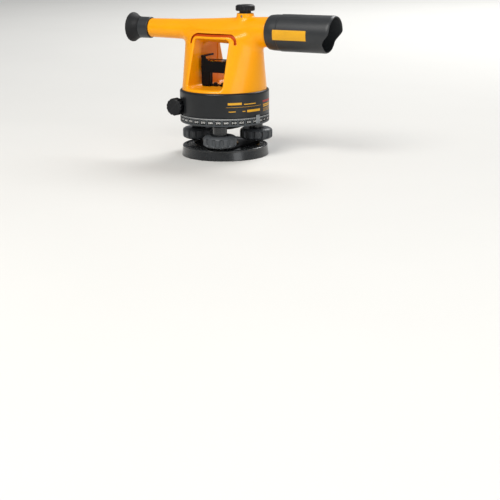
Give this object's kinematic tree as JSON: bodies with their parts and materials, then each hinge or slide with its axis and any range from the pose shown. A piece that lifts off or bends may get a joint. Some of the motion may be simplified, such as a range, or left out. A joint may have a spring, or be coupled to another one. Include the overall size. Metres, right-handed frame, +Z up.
{
  "type": "automatic level",
  "caption": "Surveying level: telescope over a yellow windowed body with a tube vial, horizontal circle and three-screw levelling base.",
  "frame": {"origin": "on the vertical axis, at the underside of the footplate", "axes": "+X along the telescope from the eyepiece to the objective, +Z up"},
  "size_m": [0.292, 0.119, 0.1905],
  "materials": {
    "yellow_paint": "warm yellow gloss enamel over an aluminium casting",
    "gloss_black": "gloss black enamel over aluminium castings",
    "satin_black": "satin black moulding",
    "charcoal_plastic": "fine-grained charcoal moulded plastic",
    "black_anodised": "matt black anodising inside the telescope",
    "circle_grey": "dark grey anodised circle with white graduations",
    "index_grey": "light grey index plate",
    "rubber": "soft black rubber",
    "brass": "turned brass",
    "steel": "turned and ground steel",
    "aluminium": "machined aluminium",
    "vial_black": "gloss black moulding",
    "glass": "coated optical glass",
    "vial_spirit": "tinted spirit in the vial, with a bubble pocket"
  },
  "bodies": {
    "base": {"footplate": "gloss_black", "tripod_thread_bush": "brass", "spring_plate": "gloss_black", "right_foot_seat": "steel", "left_foot_seat": "steel"},
    "front_seat": {"front_foot_seat": "steel"},
    "tribrach": {"tribrach": "gloss_black", "front_thread_bush": "brass", "right_thread_bush": "brass", "left_thread_bush": "brass", "spindle_bush": "brass", "hub_cap": "satin_black"},
    "front_foot": {"front_ball_foot": "steel"},
    "right_foot": {"right_ball_foot": "steel"},
    "left_foot": {"left_ball_foot": "steel"},
    "front_screw": {"front_levelling_screw": "brass", "front_levelling_knob": "charcoal_plastic"},
    "right_screw": {"right_levelling_screw": "brass", "right_levelling_knob": "charcoal_plastic"},
    "left_screw": {"left_levelling_screw": "brass", "left_levelling_knob": "charcoal_plastic"},
    "circle": {"horizontal_circle": "circle_grey"},
    "slow_motion_wheel": {"worm_wheel": "brass"},
    "alidade": {"base_housing": "satin_black", "base_cover": "aluminium", "spindle": "steel", "deck_screw_1": "steel", "deck_screw_2": "steel", "deck_screw_3": "steel", "worm_bracket": "aluminium", "index_plate": "index_grey", "body_casting": "yellow_paint", "focus_bush": "brass", "focus_set_screw": "steel", "objective_cell": "black_anodised", "objective_crown_lens": "glass", "objective_flint_lens": "glass", "objective_retaining_ring": "black_anodised", "sunshade": "charcoal_plastic", "eyepiece_sleeve": "brass", "reticle_ring": "black_anodised", "reticle_glass": "glass", "vial_frame": "vial_black", "vial_tube": "glass", "vial_spirit": "vial_spirit", "vial_left_cap": "brass", "vial_right_cap": "brass", "vial_left_screw": "steel", "vial_right_screw": "steel"},
    "tangent_drive": {"worm_shaft": "steel", "tangent_knob": "charcoal_plastic"},
    "focus_drive": {"focus_pinion": "steel", "focus_knob": "charcoal_plastic"},
    "ocular": {"ocular_tube": "black_anodised", "eye_lens": "glass", "field_lens": "glass"},
    "focus_slider": {"focus_carriage": "black_anodised", "focusing_lens": "glass"},
    "eyepiece": {"eyepiece_ring": "charcoal_plastic", "eyecup": "rubber"}
  },
  "joints": [
    {"name": "roll", "type": "hinge", "parent": "base", "child": "front_seat", "pos_m": [0.01545, -0.04066, 0.0086], "axis": [0.3551, -0.9348, 0], "range_deg": [-3, 3]},
    {"name": "pitch", "type": "hinge", "parent": "front_seat", "child": "tribrach", "pos_m": [-0.00772, 0.02033, 0.0086], "axis": [0.9348, 0.3551, 0], "range_deg": [-3, 3]},
    {"name": "front_travel", "type": "slide", "parent": "tribrach", "child": "front_foot", "axis": [0, 0, 1], "range_m": [-0.00338, 0.00338]},
    {"name": "front_turn", "type": "hinge", "parent": "front_foot", "child": "front_screw", "pos_m": [0.01545, -0.04066, 0], "axis": [0, 0, 1], "range_deg": [-1220, 1220]},
    {"name": "right_travel", "type": "slide", "parent": "tribrach", "child": "right_foot", "axis": [0, 0, 1], "range_m": [-0.00194, 0.00194]},
    {"name": "right_turn", "type": "hinge", "parent": "right_foot", "child": "right_screw", "pos_m": [0.02749, 0.03371, 0], "axis": [0, 0, 1], "range_deg": [-700, 700]},
    {"name": "left_travel", "type": "slide", "parent": "tribrach", "child": "left_foot", "axis": [0, 0, 1], "range_m": [-0.00196, 0.00196]},
    {"name": "left_turn", "type": "hinge", "parent": "left_foot", "child": "left_screw", "pos_m": [-0.04294, 0.00695, 0], "axis": [0, 0, 1], "range_deg": [-700, 700]},
    {"name": "circle_turn", "type": "hinge", "parent": "tribrach", "child": "circle", "pos_m": [0, 0, 0.0485], "axis": [0, 0, 1], "continuous": true},
    {"name": "clutch_slip", "type": "hinge", "parent": "tribrach", "child": "slow_motion_wheel", "pos_m": [0, 0, 0.0642], "axis": [0, 0, 1], "continuous": true},
    {"name": "slow_motion", "type": "hinge", "parent": "slow_motion_wheel", "child": "alidade", "pos_m": [0, 0, 0.0642], "axis": [0, 0, 1], "continuous": true},
    {"name": "tangent_turn", "type": "hinge", "parent": "alidade", "child": "tangent_drive", "pos_m": [-0.046, -0.037, 0.0642], "axis": [0, -1, 0], "continuous": true},
    {"name": "focus_turn", "type": "hinge", "parent": "alidade", "child": "focus_drive", "pos_m": [0.031, 0, 0.183], "axis": [0, 0, 1], "range_deg": [-172, 172]},
    {"name": "focus_travel", "type": "slide", "parent": "alidade", "child": "focus_slider", "axis": [1, 0, 0], "range_m": [-0.0121, 0.0121]},
    {"name": "dioptre_turn", "type": "hinge", "parent": "alidade", "child": "eyepiece", "pos_m": [-0.114, 0, 0.1576], "axis": [1, 0, 0], "range_deg": [-150, 150]},
    {"name": "dioptre_travel", "type": "slide", "parent": "alidade", "child": "ocular", "axis": [1, 0, 0], "range_m": [-0.0022, 0.0022]}
  ],
  "couplings": [
    {"joint": "front_turn", "follows": "front_travel", "rad_per_m": 6283.2},
    {"joint": "pitch", "follows": "front_travel", "rad_per_m": 15.326},
    {"joint": "right_turn", "follows": "right_travel", "rad_per_m": 6283.2},
    {"joint": "left_travel", "follows": "right_travel", "ratio": -1},
    {"joint": "left_turn", "follows": "right_travel", "rad_per_m": -6283.2},
    {"joint": "roll", "follows": "right_travel", "rad_per_m": -26.545},
    {"joint": "tangent_turn", "follows": "slow_motion", "ratio": 120},
    {"joint": "focus_travel", "follows": "focus_turn", "m_per_rad": -0.004},
    {"joint": "dioptre_travel", "follows": "dioptre_turn", "m_per_rad": 0.0008}
  ]
}
